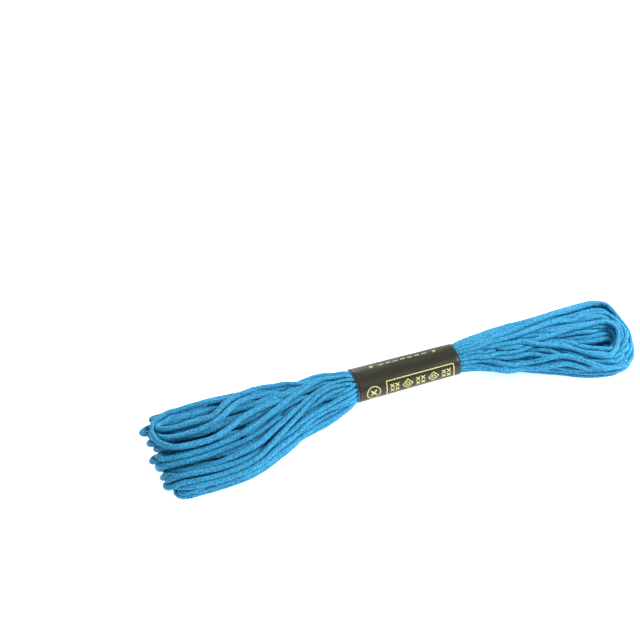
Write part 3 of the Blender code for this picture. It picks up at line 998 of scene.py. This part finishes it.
def mercerised_cotton():
    """Dyed cotton, washed in lye so that it shines: each of the six threads is two finer ones twisted."""
    material, tree, shader = new_material("mercerised_cotton_dyed")
    lay = add_node(tree, "ShaderNodeUVMap", {"uv_map": "lay"})
    split = add_node(tree, "ShaderNodeSeparateXYZ", Vector=lay.outputs["UV"])
    place = add_node(tree, "ShaderNodeTexCoord").outputs["Object"]
    uneven = add_node(tree, "ShaderNodeTexNoise", Vector=place,
                      Scale=grain_scale(TWIST_DRIFT_GRAIN), Detail=2.0)
    turns = add_node(tree, "ShaderNodeMath", {"operation": "MULTIPLY"},
                     i0=uneven.outputs["Fac"], i1=TWIST_DRIFT)
    turns = add_node(tree, "ShaderNodeMath", {"operation": "MULTIPLY_ADD"},
                     i0=split.outputs["Y"], i1=1 / TWIST_PITCH, i2=turns.outputs["Value"])
    slant = add_node(tree, "ShaderNodeMath", {"operation": "ADD"},
                     i0=split.outputs["X"], i1=turns.outputs["Value"])
    ridge = add_node(tree, "ShaderNodeMath", {"operation": "PINGPONG"}, i0=slant.outputs["Value"], i1=0.5)
    fibre = add_node(tree, "ShaderNodeTexNoise", Vector=place, Scale=grain_scale(FIBRE_GRAIN), Detail=2.0)
    surface = add_node(tree, "ShaderNodeMath", {"operation": "MULTIPLY_ADD"},
                       i0=fibre.outputs["Fac"], i1=FIBRE_DEPTH, i2=ridge.outputs["Value"])
    bump = add_node(tree, "ShaderNodeBump", Strength=1.0, Distance=RIDGE_HEIGHT * MM,
                    Height=surface.outputs["Value"])
    # Painted shade and highlight: the surface height makes the colour darker in the grooves and paler on the
    # crests.
    shade_and_highlight_blend = add_node(tree, "ShaderNodeMapRange", Value=surface.outputs["Value"],
                    From_Min=SHADE_BLEND_FROM, From_Max=SHADE_BLEND_TO)
    colour = add_node(tree, "ShaderNodeMixRGB", Fac=shade_and_highlight_blend.outputs["Result"],
                      Color1=linear(DYE_WITH_GROOVE_SHADE), Color2=linear(DYE_WITH_CREST_HIGHLIGHT))
    tree.links.new(colour.outputs["Color"], shader.inputs["Base Color"])
    tree.links.new(bump.outputs["Normal"], shader.inputs["Normal"])
    shader.inputs["Roughness"].default_value = 0.65
    shader.inputs["Specular IOR Level"].default_value = 0.3
    shader.inputs["Subsurface Weight"].default_value = 0.5
    shader.inputs["Subsurface Radius"].default_value = (0.12, 0.7, 1.0)
    shader.inputs["Subsurface Scale"].default_value = LIGHT_TRAVELS * MM
    shader.inputs["Sheen Weight"].default_value = 0.06
    shader.inputs["Sheen Roughness"].default_value = 0.5
    shader.inputs["Sheen Tint"].default_value = linear(SHEEN_TINT)
    return material


cotton = mercerised_cotton()
for obj in strands:
    obj.data.materials.append(cotton)
    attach(obj, "root")
    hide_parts("floss_hank")
print("cotton on", [obj.name for obj in strands])

# %% [markdown]
# The band is coated paper: wood fibres under a skin of china clay, printed black all over. The clay gives
# it a soft gloss that breaks the light of a lamp into a blurred streak, and the black is never even. Its
# back and its cut edges have no clay, so there it is plain white paper, rough and dull. The grain of both
# is too fine to show, and it is drawn about half a millimetre wide.

# %% Coated paper
MOTTLE_GRAIN = 6.25
CLAY_GRAIN, CLAY_DEPTH = 0.5556, 0.03
CORE_GRAIN, CORE_DEPTH = 0.4167, 0.03


def coated_black_paper():
    """Black clay-coated paper with a soft gloss: faint mottling, a little wear and a fibre grain."""
    material, tree, shader = new_material("coated_paper_printed_black")
    place = add_node(tree, "ShaderNodeTexCoord").outputs["Object"]
    grain = add_node(tree, "ShaderNodeTexNoise", Vector=place, Scale=grain_scale(CLAY_GRAIN), Detail=4.0)
    cloud = add_node(tree, "ShaderNodeTexNoise", Vector=place, Scale=grain_scale(MOTTLE_GRAIN), Detail=3.0)
    colour = add_node(tree, "ShaderNodeMixRGB", Fac=cloud.outputs["Fac"],
                      Color1=linear("#242318"), Color2=linear("#2E2D20"))
    tree.links.new(colour.outputs["Color"], shader.inputs["Base Color"])
    rough = add_node(tree, "ShaderNodeMapRange", Value=cloud.outputs["Fac"], To_Min=0.28, To_Max=0.38)
    tree.links.new(rough.outputs["Result"], shader.inputs["Roughness"])
    bump = add_node(tree, "ShaderNodeBump", Strength=0.25, Distance=CLAY_DEPTH * MM,
                    Height=grain.outputs["Fac"])
    tree.links.new(bump.outputs["Normal"], shader.inputs["Normal"])
    shader.inputs["Specular IOR Level"].default_value = 0.32
    return material


def white_paper_core():
    """The uncoated back and the cut edge of the paper, where its white fibres show."""
    material, tree, shader = new_material("uncoated_paper_core_white")
    place = add_node(tree, "ShaderNodeTexCoord").outputs["Object"]
    grain = add_node(tree, "ShaderNodeTexNoise", Vector=place, Scale=grain_scale(CORE_GRAIN), Detail=4.0)
    colour = add_node(tree, "ShaderNodeMixRGB", Fac=grain.outputs["Fac"],
                      Color1=linear("#C9C5BA"), Color2=linear("#E6E3DA"))
    tree.links.new(colour.outputs["Color"], shader.inputs["Base Color"])
    bump = add_node(tree, "ShaderNodeBump", Strength=0.4, Distance=CORE_DEPTH * MM,
                    Height=grain.outputs["Fac"])
    tree.links.new(bump.outputs["Normal"], shader.inputs["Normal"])
    shader.inputs["Roughness"].default_value = 0.85
    return material


band_mesh.materials.append(coated_black_paper())
band_mesh.materials.append(white_paper_core())
print("the band's sides are", [material.name for material in band_mesh.materials])

# %% [markdown]
# The ink is offset ink, mixed to a pale gold with no metal in it, so it is matt and doesn't glint. It is
# laid so thinly that the black shows through in specks.

# %% Offset ink
SPECK_GRAIN = 0.3846


def pale_gold_ink():
    """Offset ink mixed to a pale gold, thin enough to let the black break through in specks."""
    material, tree, shader = new_material("offset_ink_pale_gold")
    place = add_node(tree, "ShaderNodeTexCoord").outputs["Object"]
    speck = add_node(tree, "ShaderNodeTexNoise", Vector=place, Scale=grain_scale(SPECK_GRAIN), Detail=2.0)
    cover = add_node(tree, "ShaderNodeMapRange", Value=speck.outputs["Fac"], From_Min=0.28, From_Max=0.45)
    colour = add_node(tree, "ShaderNodeMixRGB", Fac=cover.outputs["Result"],
                      Color1=linear("#8F894F"), Color2=linear("#CCC67C"))
    tree.links.new(colour.outputs["Color"], shader.inputs["Base Color"])
    shader.inputs["Roughness"].default_value = 0.5
    return material


ink_mesh.materials.append(pale_gold_ink())
for obj in (band, ink):
    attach(obj, "root")
    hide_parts("label_band")
print("printed:", ink.name, "on", band.name)

# %% [markdown]
# ## The table
#
# Small wares are often photographed on a white sheet that glows, so that almost no shadow falls on it. A
# plain white floor would turn grey round the skein, so this one gives off some light of its own.

# %% White table
TABLE_HALF = 1.5
TABLE_GLOW = 0.7
floor_mesh = bpy.data.meshes.new("table_top")
table_corners = [(x * TABLE_HALF, y * TABLE_HALF, 0) for x, y in ((-1, -1), (1, -1), (1, 1), (-1, 1))]
floor_mesh.from_pydata(table_corners, [], [(0, 1, 2, 3)])
floor = bpy.data.objects.new("table_top", floor_mesh)
bpy.context.scene.collection.objects.link(floor)
floor_material, _, floor_shader = new_material("matt_white_table")
floor_shader.inputs["Base Color"].default_value = linear("#FBFBFB")
floor_shader.inputs["Roughness"].default_value = 0.9
floor_shader.inputs["Emission Color"].default_value = (1, 1, 1, 1)
floor_shader.inputs["Emission Strength"].default_value = TABLE_GLOW
floor_mesh.materials.append(floor_material)
print(f"a white table {2 * TABLE_HALF:.0f} m across")

# %% [markdown]
# ## The light
#
# The light is soft and comes from all round, as in a light tent. A disc at the right, low enough to rake
# along the strands, draws their edges, and a weaker one behind lifts the far side.

# %% Lights
SKY = 0.55
world = bpy.data.worlds.new("studio")
world.use_nodes = True
world.node_tree.nodes["Background"].inputs["Color"].default_value = (1, 1, 1, 1)
world.node_tree.nodes["Background"].inputs["Strength"].default_value = SKY
bpy.context.scene.world = world


def softbox(name, place, size_m, watts):
    """A round lamp with a soft edge, aimed at the skein."""
    light = bpy.data.lights.new(name, "AREA")
    light.shape = "DISK"
    light.size = size_m
    light.energy = watts
    obj = bpy.data.objects.new(name, light)
    obj.location = place
    obj.rotation_euler = (-Vector(place)).to_track_quat("-Z", "Y").to_euler()
    bpy.context.scene.collection.objects.link(obj)
    return obj


lamps = [softbox("key", (0.34, -0.14, 0.32), 0.20, 3.0), softbox("back", (0.02, 0.50, 0.24), 0.25, 1.5)]
print("lamps:", [lamp.name for lamp in lamps])

# %% [markdown]
# ## The camera
#
# The camera looks down at half a right angle from the front left, half a metre away. It is placed by the
# label: it stands where the band's middle falls on the pixel at which the photo shows it.

# %% Camera
PHOTO_SIDE = 640
FOCAL_PIXELS = 1680
CAMERA_DEPTH = 0.480
LABEL_AT = (404.2, 372.3)  # the pixel of the label's middle, from the left and from the top
AZIMUTH, ELEVATION = math.radians(-20), math.radians(45)

camera_data = bpy.data.cameras.new("photo_view")
camera_data.sensor_width = 36
camera_data.lens = FOCAL_PIXELS / PHOTO_SIDE * camera_data.sensor_width
camera_data.clip_start, camera_data.clip_end = 0.01, 10
camera = bpy.data.objects.new("photo_view", camera_data)
level = math.cos(ELEVATION)
back = Vector((math.sin(AZIMUTH) * level, -math.cos(AZIMUTH) * level, math.sin(ELEVATION)))
camera.rotation_mode = "QUATERNION"
camera.rotation_quaternion = (-back).to_track_quat("-Z", "Y")
right = camera.rotation_quaternion @ Vector((1, 0, 0))
up = camera.rotation_quaternion @ Vector((0, 1, 0))
per_pixel = CAMERA_DEPTH / FOCAL_PIXELS
label_middle = Vector((band_low + band_high) / 2)
camera.location = (label_middle + back * CAMERA_DEPTH - right * (LABEL_AT[0] - PHOTO_SIDE / 2) * per_pixel
                   + up * (LABEL_AT[1] - PHOTO_SIDE / 2) * per_pixel)
bpy.context.scene.collection.objects.link(camera)
bpy.context.scene.camera = camera
bpy.context.scene.view_settings.view_transform = "Standard"
print("the camera is at, in m:", [round(v, 3) for v in camera.location])
